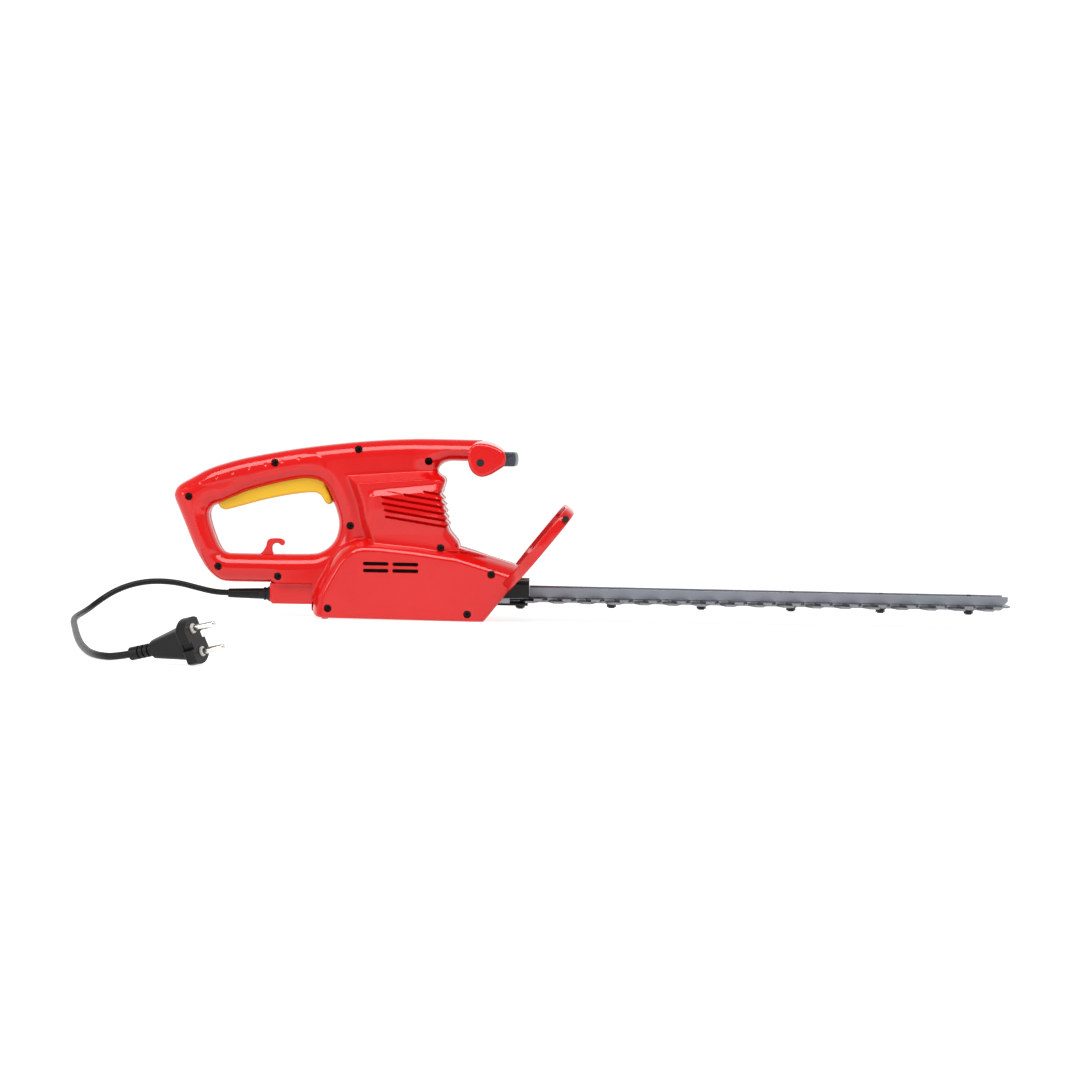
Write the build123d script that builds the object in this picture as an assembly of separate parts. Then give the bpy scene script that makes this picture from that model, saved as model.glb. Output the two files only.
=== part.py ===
"""Corded hedge trimmer: two-shell housing, motor and gear drive, two sliding blades, cord and plug.

Millimetres. +X runs to the blade tip, +Z up, and Y = 0 is the plane where the shells meet.
The origin is under the middle of the part, on the surface it stands on.
"""
from build123d import *
import math
import os

# ---------------------------------------------------------------- driving dimensions
BLADE_TIP_X = 397.5
TOOTH_PITCH = 27.0
BLADE_T = 2.2
BLADE_HALF = 14.0
TOOTH_REACH = 29.0
STROKE = 7.0
LOWER_Z, UPPER_Z = 17.9, 20.2
CASE_Z = 22.6
BOLT_XS = [-67.3, 19.6, 105.2, 190.6, 275.8, 359.8]
REST_SHIFT = 4.0

MOTOR_X = -180.0
MODULE = 1.0
PINION_TEETH, GEAR_TEETH = 10, 56
GEAR_X = MOTOR_X + MODULE * (PINION_TEETH + GEAR_TEETH) / 2

SHELL_T = 2.6
GRIP_HALF, COVER_HALF, POD_HALF = 17.5, 34.0, 38.0
BAR_HALF = 60.0
GUARD_HALF = 84.0
PIVOT = (-345.0, 114.5)
SCREWS = [  # x, z, half width of the housing there, boss radius, boss half length, shank length
    (-381.6, 112.2, 16.9, 5.6, 14, 22), (-300.9, 145.3, 16.1, 5.6, 14, 22), (-222.2, 159.3, 15.0, 5.6, 15, 22),
    (-155.7, 149.5, 17.5, 5.6, 15, 22), (-229.0, 87.3, 16.8, 5.6, 15.5, 22), (-142.6, 68.4, 31.1, 5.6, 36, 40),
    (-94.6, 44.6, 37.6, 5.6, 36, 40), (-116.5, 7.0, 37.6, 5.6, 36, 40), (-247.2, 10.4, 37.6, 5.6, 36, 40),
    (-353.3, 46.7, 16.5, 5.6, 14, 22), (-296.8, 38.2, 16.3, 5.6, 14, 22), (-105.9, 149.2, 60, 4.4, 58, 62),
]
CORD_R = 2.8
CORD_Z = 20.6
PLUG_TAIL = (-349.1, -450.9, 6.2)
PLUG_TILT, PLUG_YAW, PIN_ROLL = 13.3, 19.4, -22.0

OUT = "parts"
os.makedirs(OUT, exist_ok=True)


# ---------------------------------------------------------------- helpers
def save(name, shape):
    """Write one node, checked to be solid."""
    solids = shape.solids() if hasattr(shape, "solids") else shape
    body = solids[0] if len(solids) == 1 else Compound(children=list(solids))
    body.label = name
    export_step(body, f"{OUT}/{name}.step")
    return body


def side(points, y0, y1):
    """Prism with an outline in X-Z, running from y0 to y1."""
    face = make_face(Polyline([(x, y0, z) for x, z in points], close=True))
    return extrude(face, amount=y1 - y0, dir=(0, 1, 0))


def plan(points, z0, z1):
    """Prism with an outline in X-Y, running from z0 to z1."""
    face = make_face(Polyline([(x, y, z0) for x, y in points], close=True))
    return extrude(face, amount=z1 - z0, dir=(0, 0, 1))


def block(x0, x1, y0, y1, z0, z1):
    """Axis-aligned box between two corners."""
    return Pos((x0 + x1) / 2, (y0 + y1) / 2, (z0 + z1) / 2) * Box(x1 - x0, y1 - y0, z1 - z0)


def up(x, y, z0, z1, r):
    """Vertical cylinder."""
    return Pos(x, y, (z0 + z1) / 2) * Cylinder(r, z1 - z0)


def across(x, z, y0, y1, r):
    """Cylinder along Y."""
    return Pos(x, (y0 + y1) / 2, z) * Rot(90, 0, 0) * Cylinder(r, y1 - y0)


def along(y, z, x0, x1, r):
    """Cylinder along X."""
    return Pos((x0 + x1) / 2, y, z) * Rot(0, 90, 0) * Cylinder(r, x1 - x0)


def soften(solid, radius, low, high):
    """Round the edges lying in the two end planes of a side prism."""
    edges = [e for e in solid.edges() if all(abs(v.Y - low) < 0.01 for v in e.vertices())
             or all(abs(v.Y - high) < 0.01 for v in e.vertices())]
    return fillet(edges, radius)


def round_corners(points, radius, y0, y1):
    """Side prism whose corners are rounded along Y."""
    solid = side(points, y0, y1)
    corners = [e for e in solid.edges() if abs(e.length - (y1 - y0)) < 0.01]
    return fillet(corners, radius)


# ---------------------------------------------------------------- housing, outside
LOOP = [(-397.5, 112), (-393.8, 122), (-381, 130.5), (-363.6, 139.7), (-339.4, 147.2), (-315.2, 152.4),
        (-288.7, 157.7), (-266.9, 161.4), (-222.3, 167), (-190, 169.6), (-163, 170.6), (-112, 170.5),
        (-108, 150), (-136.5, 150), (-145, 146), (-147, 139), (-142, 120), (-138, 90), (-150, 60),
        (-250, 31.5), (-347.6, 31.5), (-357.2, 35.5), (-369.9, 49.6), (-378, 64.3), (-386.1, 83.9)]
HAND_HOLE = [(-353.5, 105.5), (-361.5, 101.4), (-363.6, 95), (-362.6, 88), (-359.2, 78.4), (-354.4, 67),
             (-349.3, 61), (-342, 58.9), (-265.5, 59.2), (-253.4, 63.6), (-244.2, 74.2), (-241, 86.3),
             (-242.3, 97.3), (-247, 109), (-251.7, 120.4), (-257.8, 127), (-265.1, 129.6), (-277.4, 129),
             (-289.1, 127), (-319.2, 119.4), (-346, 109.9)]
COVER = [(-234, 137), (-226, 150), (-196, 153), (-157, 150), (-148, 140), (-140.5, 132), (-141.8, 121),
         (-138, 104), (-134.6, 90), (-132, 80), (-126, 69), (-200, 55), (-214, 66), (-224, 80), (-226, 110)]
POD = [(-101, 0), (-62.5, 48.6), (-75.1, 54), (-125.6, 69), (-205, 79.5), (-219, 80), (-231, 75),
       (-245.3, 61), (-255, 44.5), (-262.3, 29), (-265.4, 14), (-265.2, 8), (-262.7, 4), (-258, 1.8),
       (-247, 1.2), (-116, 0)]

spine = soften(side(LOOP, -GRIP_HALF, GRIP_HALF), 8.5, -GRIP_HALF, GRIP_HALF)
hand_hole = side(HAND_HOLE, -25, 25)
spine -= hand_hole
rim = [e for e in spine.edges() if e.bounding_box().size.Y < 0.01 and
       abs(abs(e.center().Y) - GRIP_HALF) < 0.01]
spine = fillet(rim, 6.5)
cover = soften(side(COVER, -COVER_HALF, COVER_HALF), 9, -COVER_HALF, COVER_HALF)
pod = soften(side(POD, -POD_HALF, POD_HALF), 7, -POD_HALF, POD_HALF)
cord_block = round_corners([(-305, 14), (-302.4, 11.8), (-262, 11.8), (-262, 34), (-305, 34)], 0.8, -13, 13)

BAR = [(-106.6, 167.4), (-113.6, 165), (-117.4, 157.8), (-116.4, 146.8), (-112, 139.4), (-104.6, 136.2),
       (-96.6, 138.3), (-88, 143.6), (-83.8, 146.4), (-82.2, 153.9), (-85.2, 160.8), (-91.2, 163.2), (-98, 166.2)]
bar = soften(side(BAR, -BAR_HALF, BAR_HALF), 3, -BAR_HALF, BAR_HALF)
crown = soften(side([(-117, 150), (-117, 166), (-108, 170.4), (-97, 168), (-88, 163), (-84.5, 152)], -30, 30),
               5, -30, 30)
collar = soften(side([(-160, 150.2), (-160, 168), (-150, 170), (-108, 170.3), (-108, 150.2)], -24, 24),
                6, -24, 24)
HOOK = [(-317.7, 57), (-302.5, 57), (-304.2, 62.4), (-303.9, 66.4), (-301, 68.4), (-297, 68.2),
        (-294.7, 66.8), (-292, 68.8), (-292.6, 71.6), (-296, 73.2), (-305.5, 73.4), (-308.7, 71.2), (-310.5, 64)]
hook = side(HOOK, -3.5, 3.5)
feet = [block(-253.3, -247.2, y - 4, y + 4, 0, 4) for y in (-28, 28)]
outer = spine + cover + pod + cord_block + bar + crown + collar + hook + feet

# ---------------------------------------------------------------- housing, inside
motor_bay = side([(-219, 84), (-222, 112), (-216, 134), (-202, 147), (-162, 147), (-150, 137),
                  (-145.5, 112), (-138, 82), (-136, 66), (-215, 66)], -COVER_HALF + SHELL_T, COVER_HALF - SHELL_T)
pod_bay = side([(-104, 3), (-70, 46), (-78, 51), (-127, 65.8), (-205, 76.5), (-218, 77), (-229, 72.5),
                (-243, 59.5), (-252.5, 43.5), (-259.6, 28), (-262.2, 14), (-259, 6), (-252, 4)],
               -POD_HALF + SHELL_T, POD_HALF - SHELL_T)
grip_bay = side([(-372, 126), (-364, 115), (-352, 114), (-320, 126), (-288, 134), (-262, 137),
                 (-247, 132), (-235, 118), (-234, 140), (-214, 150), (-205, 163), (-222, 163), (-266, 157.5),
                 (-289, 153.6), (-339, 143)], -12.5, 12.5)
tail_bay = side([(-388, 108), (-370, 104), (-369, 88), (-356, 57), (-346, 54.5), (-266, 54.5), (-250, 50),
                 (-250, 38), (-262, 35.5), (-346, 35.5), (-353, 38.5), (-365, 52), (-374, 68), (-382, 88)],
                -12.5, 12.5)
link_bay = block(-376, -368, -12.5, 12.5, 102, 122)
cord_bay = block(-301.5, -255, -9.5, 9.5, 15, 29)
neck_bay = block(-166, -104, -14, 14, 154.5, 166)
neck_duct = block(-192, -160, -14, 14, 140, 164)
bar_bay = side([(-113, 145), (-113, 160), (-106, 163.5), (-97, 161), (-97, 143)], -BAR_HALF + 3, BAR_HALF - 3)
bar_slot = block(-98, -80, -48.5, 48.5, 145.4, 160.2)
nose_slot = block(-130, -50, -30.4, 30.4, 15.2, 42.2)
trigger_slot = block(-356.5, -243, -8.6, 8.6, 98, 140.5)

CAVITIES = [motor_bay, pod_bay, grip_bay, tail_bay, link_bay, cord_bay, neck_bay, neck_duct, bar_bay]
shell = outer
for cavity in CAVITIES:
    shell -= cavity
bay = motor_bay + pod_bay
ribs = (block(-232, -137, -36, 36, 45.5, 53) + block(-222, -144, -36, 36, 84, 88)
        + block(-222, -144, -36, 36, 108, 112) + block(-208, -156, -36, 36, 138.6, 146))
ribs = (ribs & bay) - up(MOTOR_X, 0, 80, 120, 27) - up(MOTOR_X, 0, 40, 54, 11) - up(MOTOR_X, 0, 138, 147, 8)
shell += ribs
wall_ties = [block(-262, -236, -36, 36, 14, 17) & pod_bay,
             block(-292, -283, -9.5, 9.5, 15, 18.2), block(-292, -283, -9.5, 9.5, 23.8, 24.4)]
shell += wall_ties[0]
shell += wall_ties[1]

for x, z, half, radius, span, length in SCREWS:
    shell += across(x, z, -span, span, radius) & outer
for x, z, half, radius, span, length in SCREWS:
    seat = -half + 9
    shell -= across(x, z, -half - 12, seat, 4.0)
    shell -= across(x, z, seat - 1, seat + length + 1, 1.9)
shell -= across(*PIVOT, -11.1, 11.1, 2)
shell -= block(-113, -97, -8, 8, 153.4, 163.4)
shell = shell - trigger_slot - bar_slot - nose_slot - along(0, CORD_Z, -306, -300, 5.4)

for row in (46.6, 53.0):
    for x in (-202.6, -175.0):
        slot = block(x - 10.3, x + 10.3, -50, 50, row - 1.75, row + 1.75)
        slot += across(x - 10.3, row, -50, 50, 1.75) + across(x + 10.3, row, -50, 50, 1.75)
        shell -= slot
LOUVRES = [(-159.5, 120.6), (-178, 118.3), (-198.5, 115.6), (-198, 109.6), (-196.1, 103.4), (-194.4, 97)]
for x0, z0 in LOUVRES:
    x1 = -130.0
    z1 = z0 - (x1 - x0) * 0.158
    cut = [(x0, z0 - 1.1), (x1, z1 - 1.1), (x1, z1 + 1.1), (x0, z0 + 1.1)]
    shell -= side(cut, -COVER_HALF - 2, -COVER_HALF + 1.3) + side(cut, COVER_HALF - 1.3, COVER_HALF + 2)
for key in range(6):
    x = -355.8 + 15.5 * key
    z = [130.2, 134.9, 139.5, 143.3, 146.8, 149.9][key]
    shell -= across(x, z, -20, -GRIP_HALF + 0.6, 1.1) + across(x, z, GRIP_HALF - 0.6, 20, 1.1)

left_shell = shell & block(-420, -50, -70, 0, -5, 180)
right_shell = shell & block(-420, -50, 0, 70, -5, 180)
save("left_housing_shell", left_shell)
save("right_housing_shell", right_shell)

screws = []
for x, z, half, radius, span, length in SCREWS:
    seat = -half + 9
    head = across(x, z, seat - 2.6, seat, 3.4) - across(x, z, seat - 3, seat - 1.1, 1.3)
    screws += [head + across(x, z, seat, seat + length, 1.9)]
save("housing_screws", Compound(children=screws))

# ---------------------------------------------------------------- hand guard
SLANT = math.degrees(math.atan2(90.8, 72.4))
LOBE = [(34, 0), (34, 37), (44, 46), (54, 64), (68, 79), (84, GUARD_HALF), (108, GUARD_HALF), (124, 81),
        (132, 68), (133, 48), (133, 0)]


def lobe(points, z, amount):
    """Plate across the front, given half its outline as distance up the slant and half width."""
    ring = points + [(s, -y) for s, y in reversed(points[1:-1])]
    return extrude(make_face(Polyline([(s, y, z) for s, y in ring], close=True)), amount=amount, dir=(0, 0, 1))


blank = lobe(LOBE, 0, 9.4)
blank = fillet([e for e in blank.edges() if abs(e.length - 9.4) < 0.01], 5)
well = lobe([(min(s * 0.97 + 2.4, 130.2), y * 0.965) for s, y in LOBE], 2.8, 12)
guard = Pos(-101, 0, 0.3) * Rot(0, -SLANT, 0) * (blank - well) - pod - block(-120, -45, -31, 31, 10, 42.6)
guard = max(guard.solids(), key=lambda s: s.volume)
for s in (-1, 1):
    guard -= across(-26.5, 99.5, *sorted((s * 70, s * 90)), 1.7)
    guard -= across(-26.5, 99.5, *sorted((s * 80.9, s * 90)), 3.2)
save("hand_guard", guard)
guard_screws = [across(-26.5, 99.5, *sorted((s * 80.9, s * 83)), 3) + across(-26.5, 99.5, *sorted((s * 74, s * 81)), 1.7)
                for s in (-1, 1)]
save("guard_screws", Compound(children=guard_screws))

# ---------------------------------------------------------------- gear case and blade guides
bottom = block(-180, -60, -30, 30, 15.5, 17.6)
spacer = plan([(-180, 24), (-100, 24), (-100, 15.5), (-77, 15.5), (-77, 30), (-180, 30)], 17.6, CASE_Z)
spacers = [spacer, mirror(spacer, Plane.XZ)]
case = block(-180, -59, -30, 30, CASE_Z, 26.6) + block(-104, -59, -30, 30, CASE_Z, 35.5)
case += side([(-84, 35.5), (-59, 35.5), (-59, 38.6), (-81.5, 38.6)], -26, 26)
case -= up(GEAR_X, 0, 10, 30, 7.5)
bottom -= up(GEAR_X, 0, 10, 30, 7.5)
CASE_BOLTS = [(-174, -27), (-174, 27), (-104.5, -27), (-104.5, 27)]
case_screws = []
for x, y in CASE_BOLTS:
    hole = up(x, y, 10, 26.6, 2)
    bottom, case, spacers = bottom - hole, case - hole, [s - hole for s in spacers]
    case_screws += [up(x, y, 12.9, 15.5, 3.5) + up(x, y, 15.5, 26.6, 2)]
case -= up(BOLT_XS[0], 0, 20, 50, 3) + up(BOLT_XS[0], 0, 32.4, 50, 6)
bottom -= up(BOLT_XS[0], 0, 10, 30, 3)
save("gear_case", case)
save("guide_plates", Compound(children=[s.solids()[0] for s in spacers]))
save("bottom_cover", bottom)
save("case_screws", Compound(children=case_screws))
bushes = [up(GEAR_X, 0, z0, z1, 7.5) - up(GEAR_X, 0, z0, z1, 5.05) for z0, z1 in ((15.5, 17.6), (CASE_Z, 26.6))]
save("crank_bushes", Compound(children=bushes))

# ---------------------------------------------------------------- blades and rail
TEETH = 17


def blade(z, shift):
    """Double-sided blade: yoke ring, neck, body and teeth, with a slot for every guide bolt."""
    edge = [(-179, 22), (-115, 22), (-115, 13)]
    for i in range(TEETH):
        c = -54.5 + TOOTH_PITCH * i + shift
        edge += [(c - 8.6, 13), (c - 4.1, TOOTH_REACH), (c + 4.1, TOOTH_REACH), (c + 8.6, 13)]
    edge += [(BLADE_TIP_X - REST_SHIFT + shift - 3, 13), (BLADE_TIP_X - REST_SHIFT + shift, 9)]
    ring = edge + [(x, -y) for x, y in reversed(edge)]
    body = plan(ring, z, z + BLADE_T)
    body -= block(GEAR_X - 24, GEAR_X + 24, -17, 17, z - 1, z + 4)
    for x in BOLT_XS:
        body -= block(x - STROKE, x + STROKE, -4.6, 4.6, z - 1, z + 4)
        body -= up(x - STROKE, 0, z - 1, z + 4, 4.6) + up(x + STROKE, 0, z - 1, z + 4, 4.6)
    return body


save("upper_blade", blade(UPPER_Z, REST_SHIFT))
save("lower_blade", blade(LOWER_Z, -REST_SHIFT))

rail = side([(-58.7, CASE_Z), (394.2, CASE_Z), (394.2, 31), (-58.7, 32.2)], -13.5, 13.5)
rail -= block(-60, 396, -11.5, 11.5, CASE_Z + 2, 34)
far = [(394.2, 26.5), (394.2, 22), (389.5, 22)]
rail -= side(far, -14, 14)
bolts, nuts, washers, collars = [], [], [], []
for x in BOLT_XS:
    seat = CASE_Z + 3.4 if x > 0 else 32.4
    foot = 16.6 if x > 0 else 15.5
    hexagon = extrude(Pos(x, 0, seat) * RegularPolygon(5.5, 6), 4.2) + up(x, 0, seat + 4, seat + 5.9, 2.2)
    deep = 3 if x > 0 else 4
    bolts += [hexagon + up(x, 0, foot - deep - 0.8, seat, 3)]
    nuts += [extrude(Pos(x, 0, foot - deep) * RegularPolygon(4.6, 6), deep) - up(x, 0, 5, 20, 3)]
    collars += [up(x, 0, 17.6, CASE_Z, 4.2) - up(x, 0, 15, 25, 3)]
    if x > 0:
        rail -= up(x, 0, 20, 26, 3)
        washers += [up(x, 0, z0, z1, 5.6) - up(x, 0, 15, 30, 3) for z0, z1 in ((16.6, 17.6), (24.6, 26))]
save("blade_rail", rail)
save("guide_bolts", Compound(children=bolts))
save("guide_nuts", Compound(children=nuts))
save("guide_washers", Compound(children=washers))
save("guide_collars", Compound(children=collars))


# ---------------------------------------------------------------- motor and gears
def gear(teeth, z0, z1, bore, turn):
    """Spur gear with straight-sided teeth and plenty of backlash; turn is in radians."""
    r = MODULE * teeth / 2
    ring = []
    for i in range(teeth):
        for radius, half in ((r - 1.25, -0.75), (r + 0.8, -0.3), (r + 0.8, 0.3), (r - 1.25, 0.75)):
            a = turn + 2 * math.pi * i / teeth + half / radius
            ring += [(radius * math.cos(a), radius * math.sin(a))]
    return plan(ring, z0, z1) - up(0, 0, z0 - 1, z1 + 1, bore)


pinion = Pos(MOTOR_X, 0, 0) * gear(PINION_TEETH, 28, 37, 2.2, 0)
wheel = Pos(GEAR_X, 0, 0) * gear(GEAR_TEETH, 28.5, 35.5, 5, math.pi + math.pi / GEAR_TEETH)
for k in range(6):
    a = math.radians(60 * k)
    wheel -= up(GEAR_X + 16 * math.cos(a), 16 * math.sin(a), 20, 40, 4.5)
save("motor_pinion", pinion)
save("drive_gear", wheel)
crank = up(GEAR_X, 0, 13.5, 39, 5)
crank += up(GEAR_X, STROKE, UPPER_Z - 0.05, CASE_Z - 0.2, 9) + up(GEAR_X, -STROKE, 17.75, UPPER_Z - 0.05, 9)
save("crankshaft", crank)
save("crank_clip", up(GEAR_X, 0, 35.6, 37, 7.5) - up(GEAR_X, 0, 30, 40, 5))

shaft = up(MOTOR_X, 0, 27.2, 38, 2.2) + up(MOTOR_X, 0, 38, 147, 4)
save("motor_shaft", shaft)
lower_bearing = up(MOTOR_X, 0, 46, 53, 11) - up(MOTOR_X, 0, 40, 60, 4.05)
upper_bearing = up(MOTOR_X, 0, 139, 146, 8) - up(MOTOR_X, 0, 130, 150, 4.05)
save("lower_bearing", lower_bearing)
save("upper_bearing", upper_bearing)

slots = [up(MOTOR_X + 15.2 * math.cos(a), 15.2 * math.sin(a), 70, 125, 1.1)
         for a in [math.radians(30 * k + 15) for k in range(12)]]
core = up(MOTOR_X, 0, 80, 116, 15.6) - up(MOTOR_X, 0, 70, 120, 4)
for slot in slots:
    core -= slot
save("armature_core", core)
coils = [up(MOTOR_X, 0, z0, z1, 13) - up(MOTOR_X, 0, z0 - 1, z1 + 1, 4) for z0, z1 in ((73, 80), (116, 122))]
save("armature_coils", Compound(children=coils))
save("commutator", up(MOTOR_X, 0, 124, 135, 9.5) - up(MOTOR_X, 0, 120, 140, 4))

fan = up(MOTOR_X, 0, 57, 58.5, 23) + up(MOTOR_X, 0, 57, 66, 6)
for k in range(10):
    vane = Pos(MOTOR_X, 0, 62) * Rot(0, 0, 36 * k) * Pos(14, 0, 0) * Rot(0, 0, 24) * Box(17, 1.2, 8)
    fan += vane
save("cooling_fan", fan - up(MOTOR_X, 0, 50, 70, 4))

stator = up(MOTOR_X, 0, 80, 116, 27) - up(MOTOR_X, 0, 70, 120, 16.5)
pocket = up(MOTOR_X, 0, 60, 140, 23.5) - up(MOTOR_X, 0, 60, 140, 16.5)
sector = plan([(MOTOR_X, 0), (MOTOR_X + 30, -21), (MOTOR_X + 30, 21)], 60, 140)
arcs = [pocket & sector, pocket & mirror(sector, Plane.YZ.offset(MOTOR_X))]
for arc in arcs:
    stator -= arc
save("stator_core", stator)
field = [(arc & block(-220, -140, -30, 30, 72, 122)).solids()[0] for arc in arcs]
save("field_coils", Compound(children=field))

plate = up(MOTOR_X, 0, 122.2, 124, 25) - up(MOTOR_X, 0, 120, 130, 11)
save("brush_plate", plate)
holders, brushes, springs = [], [], []
for s in (-1, 1):
    tube = block(MOTOR_X - 4, MOTOR_X + 4, *sorted((s * 12, s * 24)), 124, 133)
    tube -= block(MOTOR_X - 2.6, MOTOR_X + 2.6, *sorted((s * 11, s * 22.5)), 126, 132)
    holders += [tube]
    brushes += [block(MOTOR_X - 2.5, MOTOR_X + 2.5, *sorted((s * 9.8, s * 18)), 126.1, 131.9)]
save("brush_holders", Compound(children=holders))
save("carbon_brushes", Compound(children=brushes))

# ---------------------------------------------------------------- controls
TRIGGER = [(-354.4, 105.2), (-352.6, 102.2), (-348.5, 100.4), (-343.7, 101), (-314.7, 109.2), (-290.4, 114.6),
           (-266.3, 117.8), (-260.2, 116.8), (-255.8, 113), (-253.2, 108.8), (-250.8, 107.2), (-247.8, 108.2),
           (-249.6, 114.6), (-252.6, 121.5), (-255.5, 131), (-276, 134.5), (-292, 131.5), (-320, 124.4), (-338, 120.6),
           (-348, 119), (-353.2, 114)]
trigger = soften(side(TRIGGER, -8, 8), 1.6, -8, 8) - across(*PIVOT, -10, 10, 2.05)
save("rear_trigger", trigger)
save("trigger_pin", across(*PIVOT, -11, 11, 2))
save("rear_switch", block(-282, -262, -5, 5, 140.6, 150.6) - block(-275, -269, -2.2, 2.2, 139, 148.2))
save("rear_switch_plunger", block(-274.8, -269.2, -2, 2, 135.3, 141.2))
coil = Pos(-318, 0, 126.4) * sweep(Pos(3, 0, 0) * Rot(90, 0, 0) * Circle(0.45), path=Helix(3.3, 19.8, 3))
save("trigger_spring", coil)

bar_profile = [(-94, 146), (-74.6, 146), (-73.4, 148), (-73, 152.8), (-73.6, 157.6), (-74.8, 159.6), (-94, 159.6)]
switch_bar = soften(side(bar_profile, -48, 48), 1.5, -48, 48)
switch_bar += plan([(-80, -44), (-73.3, -44), (-71.6, -16), (-71.6, 16), (-73.3, 44), (-80, 44)], 148, 157.4)
save("front_switch_bar", switch_bar)
save("front_switch", block(-112.8, -101.5, -7.8, 7.8, 153.6, 163.2) - block(-108.5, -100, -2.2, 2.2, 155.2, 159))
save("front_switch_plunger", block(-103.8, -94.2, -2, 2, 155.4, 158.8))
springs = [Pos(-112.4, y, 156.6) * Rot(0, 90, 0) * sweep(Pos(2.2, 0, 0) * Rot(90, 0, 0) * Circle(0.4),
                                                     path=Helix(2.9, 17.4, 2.2)) for y in (-32, 32)]
save("front_switch_springs", Compound(children=[s.solids()[0] for s in springs]))
save("suppressor", block(-254, -236, -7, 7, 17, 34))

# ---------------------------------------------------------------- cord, sleeve and plug
ROUTE = [(-281, 0, CORD_Z), (-347, 0, CORD_Z), (-361, -0.6, 21.8), (-375.5, -2.4, 25.4), (-390.5, -5, 29.4),
         (-406, -8.5, 31.3), (-421.5, -12.5, 30.9), (-436.5, -17.5, 27.6), (-450, -24, 21.8), (-461.5, -33, 13.6),
         (-469.5, -52, 5.4), (-471.6, -88, 2.8), (-463, -136, 2.8), (-448.8, -194, 2.8), (-430.5, -270, 2.8),
         (-411.5, -343, 2.8), (-396.5, -392, 2.8), (-387.5, -417, 2.8), (-377, -436, 2.8), (-363.8, -445.7, 2.9),
         PLUG_TAIL]


def bend_radii(points, share=0.45):
    """Largest bend at every inner point that still fits the shorter run beside it."""
    radii = []
    for a, b, c in zip(points, points[1:], points[2:]):
        u, v = Vector(*b) - Vector(*a), Vector(*c) - Vector(*b)
        half_turn = math.radians(max(u.get_angle(v), 0.5)) / 2
        radii += [round(min(share * min(u.length, v.length) / math.tan(half_turn), 400), 1)]
    return radii


radii = bend_radii(ROUTE)
print("cord bend radii", radii)
route = FilletPolyline(*ROUTE, radius=radii)
cord = sweep(Plane(origin=route @ 0, z_dir=route % 0) * Circle(CORD_R), path=route)
print("cord length", round(route.length, 1))
save("cord", cord)

sleeve = along(0, CORD_Z, -309, -303.1, 5.3) - along(0, CORD_Z, -320, -290, CORD_R)
sleeve_out = Pos(-306.6, 0, CORD_Z) * Rot(0, -90, 0) * Cone(5.9, 4.3, 38.4, align=(Align.CENTER, Align.CENTER, Align.MIN))
flare = Pos(-305.1, 0, CORD_Z) * Rot(0, -90, 0) * Cone(7.6, 5.9, 3.4, align=(Align.CENTER, Align.CENTER, Align.MIN))
sleeve = sleeve + sleeve_out + flare + along(0, CORD_Z, -313, -310.6, 6.1)
sleeve -= along(0, CORD_Z, -350, -290, CORD_R + 0.4)
save("strain_relief", sleeve)
clamp = block(-292, -283, -9, 9, 21.2, 24.4) + block(-292, -283, -9, 9, 18.2, 21.2) - along(0, CORD_Z, -300, -270, CORD_R)
clamp = clamp & block(-292, -283, -9, 9, 21.4, 24.4)
for y in (-6.5, 6.5):
    clamp -= up(-287.5, y, 10, 30, 1.5)
save("cord_clamp", clamp)
save("clamp_screws", Compound(children=[up(-287.5, y, 24.4, 26.4, 2.4) + up(-287.5, y, 18.2, 24.4, 1.5)
                                        for y in (-6.5, 6.5)]))

plug_frame = Pos(*PLUG_TAIL) * Rot(0, 0, -PLUG_YAW) * Rot(0, -PLUG_TILT, 0)
rolled = Rot(-PIN_ROLL, 0, 0)
tail = along(0, 0, -1, 20, 5.0) - sum([along(0, 0, x, x + 1.5, 9) - along(0, 0, x, x + 1.5, 4.1)
                                       for x in (6, 10.2, 14.4)], Part())
ends = [Plane(origin=(x, 0, 0), x_dir=(0, 1, 0), z_dir=(1, 0, 0)) * RectangleRounded(w, h, r)
        for x, w, h, r in ((18.6, 11.6, 13.4, 4.6), (47, 18.5, 25.4, 5.5))]
wedge = rolled * loft(ends)
head = along(0, 0, 46.2, 55, 17.65) & block(40, 60, -11.8, 11.8, -20, 20)
head = fillet([e for e in head.edges() if e.center().X < 46.4], 1.8)
for s in (-1, 1):
    head -= Pos(50, s * 12.2, 0) * Box(12, 7.4, 5.6)
plug = tail + wedge + rolled * head - along(0, 0, -3, 6, CORD_R)
pins, rings = [], []
for s in (-1, 1):
    stem = along(0, 0, 48, 56.2, 2.0)
    pin = rolled * (Pos(0, 0, s * 9.5) * (stem + along(0, 0, 56.2, 74, 2.4)))
    ring = rolled * (Pos(0, 0, s * 9.5) * (along(0, 0, 52, 56.2, 3.6) - stem))
    plug = plug - pin - ring
    pins += [plug_frame * fillet([e for e in pin.edges() if e.center().X > 73.5], 1.6)]
    rings += [plug_frame * ring]
print("plug box", (plug_frame * plug).bounding_box())
save("plug_body", plug_frame * plug)
save("plug_pins", Compound(children=pins))
save("plug_collars", Compound(children=rings))
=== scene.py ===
"""Corded hedge trimmer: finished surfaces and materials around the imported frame.

Lengths are millimetres in the size tables and metres in the meshes. +X runs to the blade tip, +Z is up,
and the two housing shells meet at Y = 0.
"""

import logging
import math
from dataclasses import dataclass, field
from enum import Enum
from typing import Any, Callable, Iterable, Sequence

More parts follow.
